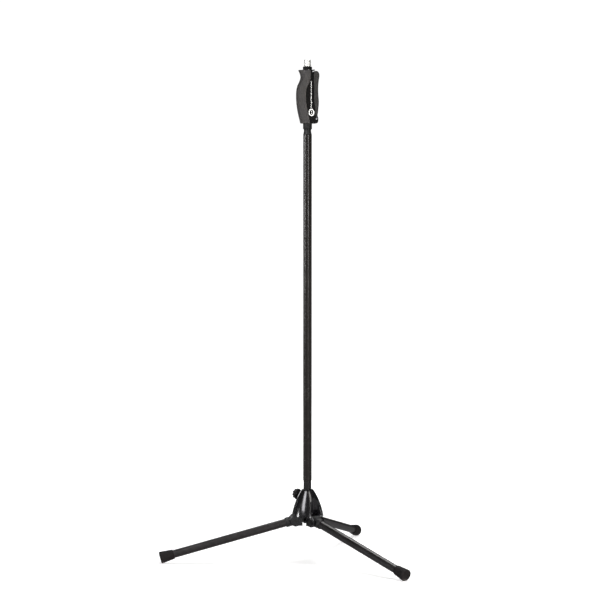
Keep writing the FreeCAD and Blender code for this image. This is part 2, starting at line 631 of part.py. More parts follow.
# ---- rod ----------------------------------------------------------------------------------
def make_rod():
    bore = ROD_R - ROD_WALL
    save("inner_rod", tube(ROD_R, bore, ROD_BOTTOM, RING_BOTTOM))
    save("rod_glide", tube(GLIDE_R, ROD_R, ROD_BOTTOM, ROD_BOTTOM + GLIDE_LENGTH))
    stud = cylinder(THREAD_R, RING_TOP, STAND_TOP)
    stud = stud.makeChamfer(THREAD_LEAD, [e for e in stud.Edges if e.Closed and e.BoundBox.ZMin > RING_TOP])
    stud = stud.fuse(cylinder(THREAD_RELIEF_R, RING_BOTTOM, RING_TOP))
    stud = stud.fuse(cylinder(bore, RING_BOTTOM - STUD_SPIGOT, RING_BOTTOM))
    stud = stud.cut(cylinder(STUD_HOLE_R, STAND_TOP - 10, STAND_TOP + 1))
    save("thread_stud", stud.removeSplitter())
    ring = fluted(RING_R, RING_TOP - RING_BOTTOM, 18, 1.2, 0.6)
    ring.translate(V(0, 0, RING_BOTTOM))
    save("lock_ring", ring.cut(cylinder(THREAD_R + RUNNING, 1000, 1200)))


os.makedirs("parts", exist_ok=True)
make_base()
make_clamp()
make_legs()
make_column()
make_grip()
make_rod()
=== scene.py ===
"""Looks for the one-hand microphone stand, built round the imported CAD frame. Metres, +Z up."""
import bpy
import bmesh
import json
import math
from mathutils import Matrix, Vector


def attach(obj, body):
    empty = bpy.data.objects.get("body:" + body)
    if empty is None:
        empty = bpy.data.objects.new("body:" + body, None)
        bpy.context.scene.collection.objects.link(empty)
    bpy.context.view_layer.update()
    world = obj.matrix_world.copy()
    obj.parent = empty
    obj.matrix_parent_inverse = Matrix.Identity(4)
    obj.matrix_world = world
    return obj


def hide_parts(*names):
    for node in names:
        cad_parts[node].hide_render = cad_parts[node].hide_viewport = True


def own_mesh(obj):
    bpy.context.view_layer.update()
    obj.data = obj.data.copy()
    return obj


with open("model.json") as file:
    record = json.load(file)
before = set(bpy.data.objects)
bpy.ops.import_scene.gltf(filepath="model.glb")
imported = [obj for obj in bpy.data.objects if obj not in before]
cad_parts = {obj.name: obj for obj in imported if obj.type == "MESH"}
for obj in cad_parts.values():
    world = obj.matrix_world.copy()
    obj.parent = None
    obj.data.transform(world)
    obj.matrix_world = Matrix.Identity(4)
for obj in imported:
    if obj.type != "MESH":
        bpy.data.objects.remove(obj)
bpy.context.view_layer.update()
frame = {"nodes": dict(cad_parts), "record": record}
NODES = frame["nodes"]
MM = 0.001
TURN = 2 * math.pi
SCENE = bpy.context.scene


# ---- camera, light, floor -----------------------------------------------------------------
SENSOR_WIDTH, LENS = 36, 117.66                 # millimetres
CAMERA_PLACE = (-0.6908, -4.2654, 0.803)
CAMERA_TILT, CAMERA_TURN = 86.99, -8.982        # degrees
CAMERA_BEARING = 9.2                            # the camera's place round the stand, from -Y towards -X
FLOOR_HALF = 30.0


def aim(obj, target):
    """Points an object's -Z at a place."""
    direction = Vector(target) - obj.location
    obj.rotation_euler = direction.to_track_quat("-Z", "Y").to_euler()


def make_camera():
    """The photographer's place: in front, a little to the left and nearly level."""
    data = bpy.data.cameras.new("camera")
    data.sensor_width = SENSOR_WIDTH
    data.lens = LENS
    data.clip_end = 100
    camera = bpy.data.objects.new("camera", data)
    camera.location = CAMERA_PLACE
    camera.rotation_euler = (math.radians(CAMERA_TILT), 0, math.radians(CAMERA_TURN))
    SCENE.collection.objects.link(camera)
    SCENE.camera = camera


def softbox(name, bearing, distance, height, width, tall, watts, tint=(1, 1, 1), target=(0, 0, 0.5),
            diffuse=True, glossy=True):
    """A rectangular lamp. Its bearing is in degrees from the camera's side of the stand, + to the right."""
    data = bpy.data.lights.new(name, "AREA")
    data.shape = "RECTANGLE"
    data.size = width
    data.size_y = tall
    data.energy = watts
    data.color = tint
    lamp = bpy.data.objects.new(name, data)
    angle = math.radians(bearing - CAMERA_BEARING)
    lamp.location = (distance * math.sin(angle), -distance * math.cos(angle), height)
    aim(lamp, target)
    lamp.visible_diffuse = diffuse
    lamp.visible_glossy = glossy
    SCENE.collection.objects.link(lamp)


def make_light():
    softbox("softbox_left", -36, 3.2, 2.7, 1.6, 2.7, 130, (0.97, 0.96, 1.0), diffuse=False)
    softbox("softbox_right", 40, 3.2, 2.7, 1.1, 2.7, 42, (1.0, 0.98, 0.94), diffuse=False)
    softbox("strip_left", -72, 8.0, 1.1, 1.3, 1.2, 140, target=(0, 0, 1.1))
    softbox("strip_right", 22, 8.0, 1.1, 0.9, 1.2, 80, target=(0, 0, 1.1))
    softbox("rim_left", -150, 3.0, 0.9, 0.8, 1.3, 9, target=(0, 0, 0.3))
    softbox("overhead", 170, 1.3, 2.9, 1.6, 1.6, 60, target=(0, 0, 0.05))
    softbox("fill", 24, 2.0, 0.35, 1.8, 0.6, 62, (1.0, 0.98, 0.95), target=(0, 0, 0.95), glossy=False)


def make_world():
    """White to the camera. To every other ray it is a dim studio above and a paler floor below."""
    world = bpy.data.worlds.new("studio")
    SCENE.world = world
    world.use_nodes = True
    tree = world.node_tree
    tree.nodes.clear()
    out = tree.nodes.new("ShaderNodeOutputWorld")
    mix = tree.nodes.new("ShaderNodeMixShader")
    path = tree.nodes.new("ShaderNodeLightPath")
    white = tree.nodes.new("ShaderNodeBackground")
    white.inputs["Color"].default_value = (1, 1, 1, 1)
    white.inputs["Strength"].default_value = 1.05
    room = tree.nodes.new("ShaderNodeBackground")
    room.inputs["Color"].default_value = (0.98, 0.98, 1.0, 1)
    coords = tree.nodes.new("ShaderNodeTexCoord")
    split = tree.nodes.new("ShaderNodeSeparateXYZ")
    height = tree.nodes.new("ShaderNodeMapRange")
    height.inputs["From Min"].default_value = -0.03
    height.inputs["From Max"].default_value = 0.01
    height.inputs["To Min"].default_value = 0.30
    height.inputs["To Max"].default_value = 0.04
    link = tree.links.new
    link(coords.outputs["Generated"], split.inputs["Vector"])
    link(split.outputs["Z"], height.inputs["Value"])
    link(height.outputs["Result"], room.inputs["Strength"])
    link(path.outputs["Is Camera Ray"], mix.inputs["Fac"])
    link(room.outputs["Background"], mix.inputs[1])
    link(white.outputs["Background"], mix.inputs[2])
    link(mix.outputs["Shader"], out.inputs["Surface"])


def make_floor():
    """A pale floor that glows with painted light, dimmer near the stand and brighter further out, so it fades
    into the white behind it; it isn't mirrored in the black enamel.
    """
    mesh = bpy.data.meshes.new("floor")
    half = FLOOR_HALF
    corners = [(-half, -half, 0), (half, -half, 0), (half, half, 0), (-half, half, 0)]
    mesh.from_pydata(corners, [], [(0, 1, 2, 3)])
    floor = bpy.data.objects.new("floor", mesh)
    SCENE.collection.objects.link(floor)
    floor.visible_glossy = False
    paint = bpy.data.materials.new("floor_white")
    paint.use_nodes = True
    shader = paint.node_tree.nodes["Principled BSDF"]
    shader.inputs["Base Color"].default_value = (0.85, 0.85, 0.85, 1)
    shader.inputs["Roughness"].default_value = 0.9
    shader.inputs["Specular IOR Level"].default_value = 0.1
    shader.inputs["Emission Color"].default_value = (1, 1, 1, 1)
    tree = paint.node_tree
    coords = tree.nodes.new("ShaderNodeTexCoord")
    distance = tree.nodes.new("ShaderNodeVectorMath")
    distance.operation = "LENGTH"
    # The floor glows: painted light, emission 0.62 within 0.6 m of the stand rising to 1.02 beyond 2.4 m.
    glow = tree.nodes.new("ShaderNodeMapRange")
    glow.inputs["From Min"].default_value = 0.6
    glow.inputs["From Max"].default_value = 2.4
    glow.inputs["To Min"].default_value = 0.62
    glow.inputs["To Max"].default_value = 1.02
    tree.links.new(coords.outputs["Object"], distance.inputs[0])
    tree.links.new(distance.outputs["Value"], glow.inputs["Value"])
    tree.links.new(glow.outputs["Result"], shader.inputs["Emission Strength"])
    mesh.materials.append(paint)


# ---- materials ----------------------------------------------------------------------------
class Tree:
    """Short calls for building one material's node tree."""

    def __init__(self, name):
        self.material = bpy.data.materials.new(name)
        self.material.use_nodes = True
        self.tree = self.material.node_tree
        self.shader = self.tree.nodes["Principled BSDF"]

    def node(self, kind, **values):
        made = self.tree.nodes.new("ShaderNode" + kind)
        for key, value in values.items():
            setattr(made, key, value)
        return made

    def link(self, a, b):
        self.tree.links.new(a, b)

    def place(self, stretch):
        coords = self.node("TexCoord")
        mapping = self.node("Mapping")
        mapping.inputs["Scale"].default_value = stretch
        self.link(coords.outputs["Object"], mapping.inputs["Vector"])
        return mapping.outputs["Vector"]

    def noise(self, where, scale, detail=3.0, rough=0.55):
        made = self.node("TexNoise")
        made.inputs["Scale"].default_value = scale
        made.inputs["Detail"].default_value = detail
        made.inputs["Roughness"].default_value = rough
        self.link(where, made.inputs["Vector"])
        return made.outputs["Fac"]

    def cells(self, where, scale):
        made = self.node("TexVoronoi")
        made.feature = "SMOOTH_F1"
        made.inputs["Scale"].default_value = scale
        made.inputs["Smoothness"].default_value = 0.35
        self.link(where, made.inputs["Vector"])
        return made.outputs["Distance"]

    def spread(self, value, low, high, start=0.35, end=0.65):
        made = self.node("MapRange")
        made.inputs["From Min"].default_value = start
        made.inputs["From Max"].default_value = end
        made.inputs["To Min"].default_value = low
        made.inputs["To Max"].default_value = high
        self.link(value, made.inputs["Value"])
        return made.outputs["Result"]

    def ramp(self, value, stops):
        made = self.node("ValToRGB")
        elements = made.color_ramp.elements
        elements[0].position, elements[0].color = stops[0][0], (*stops[0][1], 1)
        elements[1].position, elements[1].color = stops[-1][0], (*stops[-1][1], 1)
        for position, colour in stops[1:-1]:
            elements.new(position).color = (*colour, 1)
        self.link(value, made.inputs["Fac"])
        return made.outputs["Color"]

    def bump(self, height, depth, strength=1.0, under=None):
        made = self.node("Bump")
        made.inputs["Strength"].default_value = strength
        made.inputs["Distance"].default_value = depth
        self.link(height, made.inputs["Height"])
        if under is not None:
            self.link(under, made.inputs["Normal"])
        return made.outputs["Normal"]


def shade(colour, gain):
    """A colour made lighter or darker."""
    return tuple(min(1.0, c * gain) for c in colour)


def finish(name, colour, rough, vary=0.18, rough_vary=0.05, mottle=45.0, grain=1500.0, depth=0.00004,
           strength=0.5, metallic=0.0, coat=0.0, specular=0.5, pebbles=0.0, pebble_depth=0.0,
           stretch=(1, 1, 1)):
    """A procedural finish: mottled colour, uneven roughness and a fine surface grain."""
    t = Tree(name)
    where = t.place(stretch)
    clouds = t.noise(where, mottle, 4.0)
    speckle = t.noise(where, grain, 2.0, 0.6)
    t.link(t.ramp(clouds, [(0.3, shade(colour, 1 - vary)), (0.5, colour), (0.72, shade(colour, 1 + vary))]),
           t.shader.inputs["Base Color"])
    t.link(t.spread(clouds, rough - rough_vary, rough + rough_vary), t.shader.inputs["Roughness"])
    normal = t.bump(speckle, depth, strength)
    if pebbles:
        normal = t.bump(t.cells(where, pebbles), pebble_depth, 0.6, normal)
    t.link(normal, t.shader.inputs["Normal"])
    t.shader.inputs["Metallic"].default_value = metallic
    t.shader.inputs["Coat Weight"].default_value = coat
    t.shader.inputs["Coat Roughness"].default_value = 0.12
    t.shader.inputs["Specular IOR Level"].default_value = specular
    return t.material


def soft_touch():
    """The palm cover's grained elastomer, lighter at the middle of each grain cell and darker towards its
    edges.
    """
    t = Tree("palm_soft_touch")
    where = t.place((1, 1, 1))
    grain = t.cells(where, 1150.0)
    fine = t.noise(where, 2600.0, 2.0, 0.6)
    clouds = t.noise(where, 38.0, 3.0)
    # Grain tones: lighter at each cell's middle, darker towards its edges.
    cell_middle_tone, plain, cell_edge_tone = (0.052, 0.049, 0.047), (0.037, 0.035, 0.034), (0.021, 0.020, 0.019)
    colour = t.ramp(grain, [(0.15, cell_middle_tone), (0.45, plain), (0.8, cell_edge_tone)])
    tint = t.ramp(clouds, [(0.35, (0.88, 0.88, 0.92)), (0.65, (1.0, 0.97, 0.95))])
    mix = t.node("Mix", data_type="RGBA", blend_type="MULTIPLY")
    mix.inputs["Factor"].default_value = 1.0
    t.link(colour, mix.inputs["A"])
    t.link(tint, mix.inputs["B"])
    t.link(mix.outputs["Result"], t.shader.inputs["Base Color"])
    t.link(t.spread(clouds, 0.56, 0.68), t.shader.inputs["Roughness"])
    t.link(t.bump(grain, 0.0002, 0.55, t.bump(fine, 0.00005, 0.4)), t.shader.inputs["Normal"])
    t.shader.inputs["Specular IOR Level"].default_value = 0.28
    return t.material


def foot_rubber():
    """Matt rubber, with a little dust where it meets the floor."""
    t = Tree("foot_rubber")
    where = t.place((1, 1, 1))
    clouds = t.noise(where, 90.0, 4.0)
    fine = t.noise(where, 1800.0, 2.0, 0.6)
    coords = t.node("TexCoord")
    split = t.node("SeparateXYZ")
    t.link(coords.outputs["Object"], split.inputs["Vector"])
    dust = t.spread(split.outputs["Z"], 1.0, 0.0, 0.0, 0.006)
    patchy = t.node("Math", operation="MULTIPLY")
    t.link(dust, patchy.inputs[0])
    t.link(clouds, patchy.inputs[1])
    base = t.ramp(clouds, [(0.3, (0.0065, 0.0055, 0.0056)), (0.7, (0.0115, 0.0096, 0.0098))])
    mix = t.node("Mix", data_type="RGBA")
    t.link(patchy.outputs[0], mix.inputs["Factor"])
    t.link(base, mix.inputs["A"])
    mix.inputs["B"].default_value = (0.11, 0.10, 0.095, 1)
    t.link(mix.outputs["Result"], t.shader.inputs["Base Color"])
    t.link(t.spread(clouds, 0.55, 0.68), t.shader.inputs["Roughness"])
    t.link(t.bump(fine, 0.00006, 0.5), t.shader.inputs["Normal"])
    t.shader.inputs["Specular IOR Level"].default_value = 0.12
    return t.material


DRAWN = (1, 1, 0.02)        # stretches a pattern along the column into drawing lines


FINISHES = {
    "die_cast_black": dict(colour=(0.004, 0.0038, 0.0045), rough=0.22, rough_vary=0.04, mottle=30, grain=420,
                           depth=0.00005, strength=0.28, coat=0.6),
    "die_cast_satin": dict(colour=(0.005, 0.005, 0.0052), rough=0.45, grain=900, depth=0.00008, pebbles=700,
                           pebble_depth=0.00006),
    "tube_black": dict(colour=(0.0058, 0.0044, 0.0036), rough=0.25, mottle=22, grain=1400, depth=0.00003,
                       strength=0.4),
    "leg_black": dict(colour=(0.0080, 0.0069, 0.0069), rough=0.34, mottle=22, grain=1400, depth=0.00003,
                      strength=0.4),
    "stub_black": dict(colour=(0.004, 0.0036, 0.004), rough=0.40, vary=0.25, grain=700, depth=0.00003,
                       specular=0.35, stretch=DRAWN),
    "collar_black": dict(colour=(0.006, 0.006, 0.0056), rough=0.5, grain=1300, depth=0.00005, specular=0.3),
    "black_plastic": dict(colour=(0.012, 0.012, 0.012), rough=0.5, grain=1300, depth=0.00005),
    "housing_black": dict(colour=(0.0035, 0.0034, 0.0032), rough=0.55, grain=1900, depth=0.00005,
                          pebbles=1500, pebble_depth=0.00007, specular=0.07),
    "lever_plastic": dict(colour=(0.0135, 0.0128, 0.012), rough=0.52, grain=2000, depth=0.00005,
                          pebbles=1500, pebble_depth=0.00009, specular=0.3),
    "knob_plastic": dict(colour=(0.0055, 0.005, 0.005), rough=0.40, depth=0.00003, specular=0.3),
    "ring_black": dict(colour=(0.002, 0.002, 0.0019), rough=0.55, specular=0.15),
    "thread_chrome": dict(colour=(0.95, 0.95, 0.93), rough=0.34, vary=0.04, mottle=200, grain=1200,
                          depth=0.00002, metallic=0.9),
    "rod_chrome": dict(colour=(0.76, 0.76, 0.77), rough=0.12, vary=0.04, rough_vary=0.04, grain=900,
                       depth=0.00001, strength=0.3, metallic=1.0, stretch=DRAWN),
    "zinc_steel": dict(colour=(0.26, 0.26, 0.27), rough=0.42, vary=0.12, mottle=160, grain=1200,
                       depth=0.00003, metallic=1.0),
    "spring_steel": dict(colour=(0.48, 0.47, 0.46), rough=0.28, vary=0.1, mottle=300, depth=0.00002,
                         metallic=1.0),
    "black_screw": dict(colour=(0.006, 0.006, 0.006), rough=0.5, depth=0.00003, specular=0.3),
    "brass": dict(colour=(0.62, 0.45, 0.19), rough=0.3, vary=0.12, grain=1000, depth=0.00003, metallic=1.0),
    "nylon": dict(colour=(0.70, 0.68, 0.61), rough=0.45, vary=0.06, grain=1200),
    "print_white": dict(colour=(0.80, 0.80, 0.78), rough=0.55, vary=0.10, mottle=900, grain=2500,
                        depth=0.00002),
}


def make_materials():
    """Every finish by the name of its record slot."""
    made = {name: finish(name, **values) for name, values in FINISHES.items()}
    made["palm_soft_touch"] = soft_touch()
    made["foot_rubber"] = foot_rubber()
    return made


# ---- mesh helpers -------------------------------------------------------------------------
def piece(name, points, faces, body, paint, stands_for=(), matrix=None, sharp=38.0):
    """Makes one object from points in millimetres, rides it on a body and gives it its finish."""
    matrix = matrix or Matrix.Identity(4)
    mesh = bpy.data.meshes.new(name)
    mesh.from_pydata([(matrix @ Vector(p)) * MM for p in points], [], faces)
    work = bmesh.new()
    work.from_mesh(mesh)
    bmesh.ops.remove_doubles(work, verts=work.verts, dist=1e-7)
    bmesh.ops.recalc_face_normals(work, faces=work.faces)
    work.to_mesh(mesh)
    work.free()
    mesh.polygons.foreach_set("use_smooth", [True] * len(mesh.polygons))
    mesh.set_sharp_from_angle(angle=math.radians(sharp))
    mesh.materials.append(paint)
    obj = bpy.data.objects.new(name, mesh)
    SCENE.collection.objects.link(obj)
    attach(obj, body)
    if stands_for:
        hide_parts(*stands_for)
    return obj


def bridge(low, high):
    """Faces between two closed loops of point numbers; either may be a single point."""
    if len(low) == 1:
        return [(low[0], high[i], high[(i + 1) % len(high)]) for i in range(len(high))]
    if len(high) == 1:
        return [(low[i], low[(i + 1) % len(low)], high[0]) for i in range(len(low))]
    count = len(low)
    return [(low[i], low[(i + 1) % count], high[(i + 1) % count], high[i]) for i in range(count)]


def lathe(profile, segments, shape=None, closed=False):
    """Points and faces of a turned surface about Z. shape may change the radius round the turn."""
    points, faces, rings = [], [], []
    for radius, height in profile:
        first = len(points)
        if radius == 0:
            points.append((0, 0, height))
            rings.append([first])
            continue
        for i in range(segments):
            angle = TURN * i / segments
            here = shape(radius, height, angle) if shape else radius
            points.append((here * math.cos(angle), here * math.sin(angle), height))
        rings.append(list(range(first, first + segments)))
    if closed:
        rings.append(rings[0])
    for low, high in zip(rings, rings[1:]):
        faces += bridge(low, high)
    return points, faces


def smoothstep(value):
    """Eases from 0 to 1 as value goes from 0 to 1."""
    value = max(0.0, min(1.0, value))
    return value * value * (3 - 2 * value)


def curve_through(pairs, value):
    """A smooth curve through (position, height) pairs, read at one position."""
    if value <= pairs[0][0]:
        return pairs[0][1]
    if value >= pairs[-1][0]:
        return pairs[-1][1]
    k = max(i for i in range(len(pairs) - 1) if pairs[i][0] <= value)
    (x0, y0), (x1, y1) = pairs[k], pairs[k + 1]

    def slope(i):
        before, after = pairs[max(0, i - 1)], pairs[min(len(pairs) - 1, i + 1)]
        return (after[1] - before[1]) / (after[0] - before[0])

    span = x1 - x0
    s = (value - x0) / span
    return (
        y0 * (1 + 2 * s) * (1 - s) ** 2 + y1 * s * s * (3 - 2 * s)
        + span * (slope(k) * s * (1 - s) ** 2 - slope(k + 1) * s * s * (1 - s))
    )


# ---- palm grip ----------------------------------------------------------------------------
GRIP_LOW, GRIP_HIGH = 964.0, 1080.6
PALM_BACK = (
    (GRIP_LOW, 15.9), (972.0, 17.9), (981.0, 20.2), (992.0, 22.5), (1006.0, 24.5),
    (1022.0, 25.4), (1036.0, 24.8), (1046.0, 22.5), (1055.0, 18.4), (1064.0, 15.7),
    (1072.0, 17.0), (1077.5, 19.4), (GRIP_HIGH, 20.6),
)
PALM_EDGE = (
    (GRIP_LOW - 1, 3.6), (978.0, 1.6), (992.0, -1.6), (1008.0, -4.4), (1024.0, -5.4),
    (1040.0, -3.6), (1052.0, 1.6), (1060.0, 4.8), (1070.0, 5.7), (GRIP_HIGH + 1, 5.7),
)
PALM_HALF = 15.0
PALM_FRONT = 13.0
HOUSING_BACK = -11.5
HOUSING_HALF = 10.5
GAP = 0.02                  # clearance between the cover and the housing in it
LIP = 2.0                   # rounding of the cover's edge beside the housing
LIP_STEPS, BACK_STEPS = 8, 30
LOW_ROUND, HIGH_ROUND = 1.3, 0.8    # rounding of the cover's two ends
GRIP_ROWS = 110


def palm_row(height, inset):
    """One closed section of the palm cover: its outside from lip to lip, then the housing pocket."""
    reach = curve_through(PALM_BACK, height) - inset
    edge = curve_through(PALM_EDGE, height) - 0.5 * inset
    half = PALM_HALF - inset
    wall = HOUSING_HALF + GAP

    def length(x):
        return PALM_FRONT if x > 0 else reach

    def outside(x):
        return half * math.sqrt(max(0.0, 1 - (x / length(x)) ** 2))

    start = edge - LIP
    corner = (edge, max(wall + 0.3, outside(edge)))
    begin = (start, outside(start))
    foot = (edge, max(wall + 0.05, corner[1] - LIP))
    row = [(edge, wall)]
    for i in range(LIP_STEPS + 1):
        s = i / LIP_STEPS
        x = foot[0] * (1 - s) ** 2 + corner[0] * 2 * s * (1 - s) + begin[0] * s * s
        y = foot[1] * (1 - s) ** 2 + corner[1] * 2 * s * (1 - s) + begin[1] * s * s
        row.append((x, y))
    turn = math.acos(max(-1.0, min(1.0, start / length(start))))
    for i in range(1, BACK_STEPS + 1):
        angle = turn + (math.pi - turn) * i / BACK_STEPS
        row.append((length(math.cos(angle)) * math.cos(angle), half * math.sin(angle)))
    outer = row + [(x, -y) for x, y in reversed(row[:-1])]
    back = HOUSING_BACK - GAP
    pocket = []
    for i in range(2, len(outer) - 2):
        side = 1 - (i - 1) / (len(outer) // 2 - 1)
        x = back + (edge - back) * max(0.0, abs(side) * 2 - 1)
        pocket.append((x, wall * max(-1.0, min(1.0, side * 2))))
    return [(x, -y, height) for x, y in outer + pocket[::-1]]


def palm_cap(loop):
    """Closes one end of the palm cover, between its outside and the housing pocket."""
    count = (len(loop) + 4) // 2
    outer = loop[:count]
    pocket = [outer[0]] + loop[count:][::-1] + [outer[-1]]
    return [(outer[i + 1], outer[i + 2], pocket[i + 1], pocket[i]) for i in range(len(pocket) - 1)]


def make_palm(paint):
    """The soft cover of the grip, stacked from sections that close in at both ends."""
    heights = []
    for i in range(7):
        angle = math.pi / 2 * i / 6
        heights.append((GRIP_LOW + LOW_ROUND * (1 - math.cos(angle)), LOW_ROUND * (1 - math.sin(angle))))
    start, end = GRIP_LOW + LOW_ROUND, GRIP_HIGH - HIGH_ROUND
    heights += [(start + (end - start) * i / GRIP_ROWS, 0.0) for i in range(1, GRIP_ROWS)]
    for i in range(6):
        angle = math.pi / 2 * i / 5
        heights.append((end + HIGH_ROUND * math.sin(angle), HIGH_ROUND * (1 - math.cos(angle))))
    rows = [palm_row(height, inset) for height, inset in heights]
    points = [p for row in rows for p in row]
    size = len(rows[0])
    loops = [list(range(i * size, (i + 1) * size)) for i in range(len(rows))]
    faces = palm_cap(loops[0]) + palm_cap(loops[-1])
    for low, high in zip(loops, loops[1:]):
        faces += bridge(low, high)
    piece("palm_cover", points, faces, "column", paint, ["palm_grip"])


# ---- top of the stand ---------------------------------------------------------------------
THREAD_R, THREAD_ROOT = 7.93, 7.25
THREAD_LOW, THREAD_HIGH = 1088.0, 1103.0
PITCH = 25.4 / 27
CREST = 0.12                # share of each half pitch that is flat at the root, and again at the crest
LEAD_DEPTH, LEAD_START = 0.9, 1.1       # taper over the thread's last turn
THREAD_STEPS = 128
UNDERCUT_R = 7.1
STUD_LOW, STUD_R, STUD_CHAMFER = 1057.0, 5.0, 0.6
CROWN_R = 6.7               # flat end of the thread, round its socket
SOCKET_R, SOCKET_LOW, SOCKET_TIP, SOCKET_CHAMFER = 2.5, 1093.4, 1092.0, 0.5
RING_LOW, RING_HIGH, RING_R, RING_BORE = 1081.0, 1088.0, 10.1, 8.0
RING_FLUTES, FLUTE_DEPTH = 18, 0.62


def thread_radius(radius, height, angle):
    """The helical ridge of the top thread."""
    if radius != THREAD_R:
        return radius
    phase = ((height - THREAD_LOW) / PITCH - angle / TURN) % 1.0
    ridge = max(0.0, min(1.0, (abs(phase - 0.5) * 2 - CREST) / (1 - 2 * CREST)))
    here = THREAD_ROOT + (THREAD_R - THREAD_ROOT) * ridge
    lead = THREAD_R - LEAD_DEPTH * smoothstep(height - (THREAD_HIGH - LEAD_START))
    start = UNDERCUT_R + (THREAD_R - UNDERCUT_R) * smoothstep((height - THREAD_LOW) / 0.6)
    return min(here, lead, start)


def make_stud(paint):
    """The stud on the rod's end, with a real 5/8 inch thread of 27 turns to the inch."""
    profile = [
        (0, STUD_LOW), (STUD_R - STUD_CHAMFER, STUD_LOW), (STUD_R, STUD_LOW + STUD_CHAMFER),
        (STUD_R, RING_LOW), (UNDERCUT_R, RING_LOW), (UNDERCUT_R, RING_HIGH),
    ]
    rise = (THREAD_HIGH - THREAD_LOW) / THREAD_STEPS
    profile += [(THREAD_R, THREAD_LOW + rise * i) for i in range(1, THREAD_STEPS + 1)]
    profile += [
        (CROWN_R, THREAD_HIGH), (SOCKET_R + SOCKET_CHAMFER, THREAD_HIGH),
        (SOCKET_R, THREAD_HIGH - SOCKET_CHAMFER), (SOCKET_R, SOCKET_LOW), (0, SOCKET_TIP),
    ]
    points, faces = lathe(profile, 96, thread_radius)
    piece("top_thread", points, faces, "rod", paint, ["thread_stud"], sharp=50)


def make_ring(paint):
    """The lock ring on the thread, with flutes for the fingers."""
    top, low = RING_HIGH, RING_LOW + 0.02

    def shape(radius, height, angle):
        wave = 0.5 + 0.5 * math.cos(angle * RING_FLUTES)
        bite = FLUTE_DEPTH * smoothstep((wave - 0.25) / 0.75)
        fade = smoothstep((height - low) / 1.2)
        return radius - bite * fade * smoothstep((radius - RING_R + 1.0) / 0.8)

    profile = [
        (RING_BORE, low + 0.3), (RING_BORE + 0.3, low), (RING_R - 0.6, low), (RING_R - 0.15, low + 0.18),
        (RING_R, low + 0.6), (RING_R, low + 1.4), (RING_R, low + 3.0), (RING_R, top - 1.4),
        (RING_R, top - 0.6), (RING_R - 0.18, top - 0.18), (RING_R - 0.6, top), (RING_BORE + 0.4, top),
        (RING_BORE, top - 0.4),
    ]
    points, faces = lathe(profile, RING_FLUTES * 12, shape, closed=True)
    piece("fluted_ring", points, faces, "ring", paint, ["lock_ring"])


# ---- lever spring -------------------------------------------------------------------------
SPRING_R, SPRING_WIRE, SPRING_LENGTH, SPRING_TURNS = 2.6, 0.4, 4.4, 3
SPRING_X, SPRING_Z = 15.8, 1014.0


def make_lever_spring(paint):
    """The coil behind the lever, along X."""
    points, rings = [], []
    steps, sides = SPRING_TURNS * 36, 12
    rise = SPRING_LENGTH - 2 * SPRING_WIRE
    for i in range(steps + 1):
        turn = TURN * SPRING_TURNS * i / steps
        middle = SPRING_X + SPRING_WIRE + rise * i / steps
        rings.append(list(range(len(points), len(points) + sides)))
        for k in range(sides):
            angle = TURN * k / sides
            reach = SPRING_R + SPRING_WIRE * math.cos(angle)
            points.append((middle + SPRING_WIRE * math.sin(angle), reach * math.sin(turn),
                           SPRING_Z + reach * math.cos(turn)))
    faces = [tuple(rings[0]), tuple(rings[-1])]
    for low, high in zip(rings, rings[1:]):
        faces += bridge(low, high)
    spring = piece("return_spring", points, faces, "column", paint, ["lever_spring"])
    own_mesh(spring)


# ---- clamp knob and feet ------------------------------------------------------------------
KNOB_BEARING = 120.0
KNOB_START, KNOB_Z, KNOB_R = 29.4, 141.0, 12.0
KNOB_LOBES, LOBE_DEPTH, LOBE_FOOT_R = 10, 1.15, 8.5
KNOB_BORE, KNOB_BORE_DEPTH = 3.02, 7.0


def make_knob(paint):
    """The clamp knob, turned about its screw's axis and then set against the boss."""
    segments = KNOB_LOBES * 16

    def shape(radius, height, angle):
        if radius < LOBE_FOOT_R:
            return radius
        wave = 0.5 + 0.5 * math.cos(angle * KNOB_LOBES)
        fade = smoothstep((radius - LOBE_FOOT_R) / 2.2)
        return radius - LOBE_DEPTH * smoothstep((wave - 0.15) / 0.85) * fade

    profile = [
        (KNOB_BORE, KNOB_BORE_DEPTH), (KNOB_BORE, 0.0), (6.2, 0.0), (6.6, 0.3), (6.8, 1.0), (9.6, 1.1),
        (10.8, 1.4), (11.7, 2.1), (KNOB_R, 3.1), (KNOB_R, 4.8), (KNOB_R, 6.8), (KNOB_R, 8.4), (11.7, 9.5),
        (11.0, 10.3), (9.9, 10.8), (8.7, 11.0), (7.8, 10.9), (7.3, 10.5), (7.0, 10.0), (3.5, 10.0), (0, 10.0),
    ]
    points, faces = lathe(profile, segments, shape)
    faces.append(tuple(range(segments)))
    turn = Matrix.Rotation(math.radians(KNOB_BEARING), 4, "Z") @ Matrix.Translation((KNOB_START, 0, KNOB_Z))
    turn = turn @ Matrix.Rotation(math.pi / 2, 4, "Y")
    piece("clamp_handle", points, faces, "clamp", paint, ["clamp_knob"], turn)


LEG_BEARINGS = (180.0, 300.0, 60.0)
PIVOT_R, PIVOT_Z = 28.0, 87.7
FOOT_R, FOOT_Z = 327.4, 11.5
LEG_LENGTH = math.hypot(FOOT_R - PIVOT_R, PIVOT_Z - FOOT_Z)
LEG_SLOPE = math.atan2(PIVOT_Z - FOOT_Z, FOOT_R - PIVOT_R)
CAP_LENGTH, CAP_MOUTH, CAP_END = 31.0, 10.4, 13.4
CAP_BORE, CAP_BORE_DEPTH = 8.77, 23.0
CAP_LIP, CAP_RIM = 0.8, 2.4     # rounding at the cap's mouth and round its end
CAP_STEPS, CAP_SEGMENTS = 26, 96


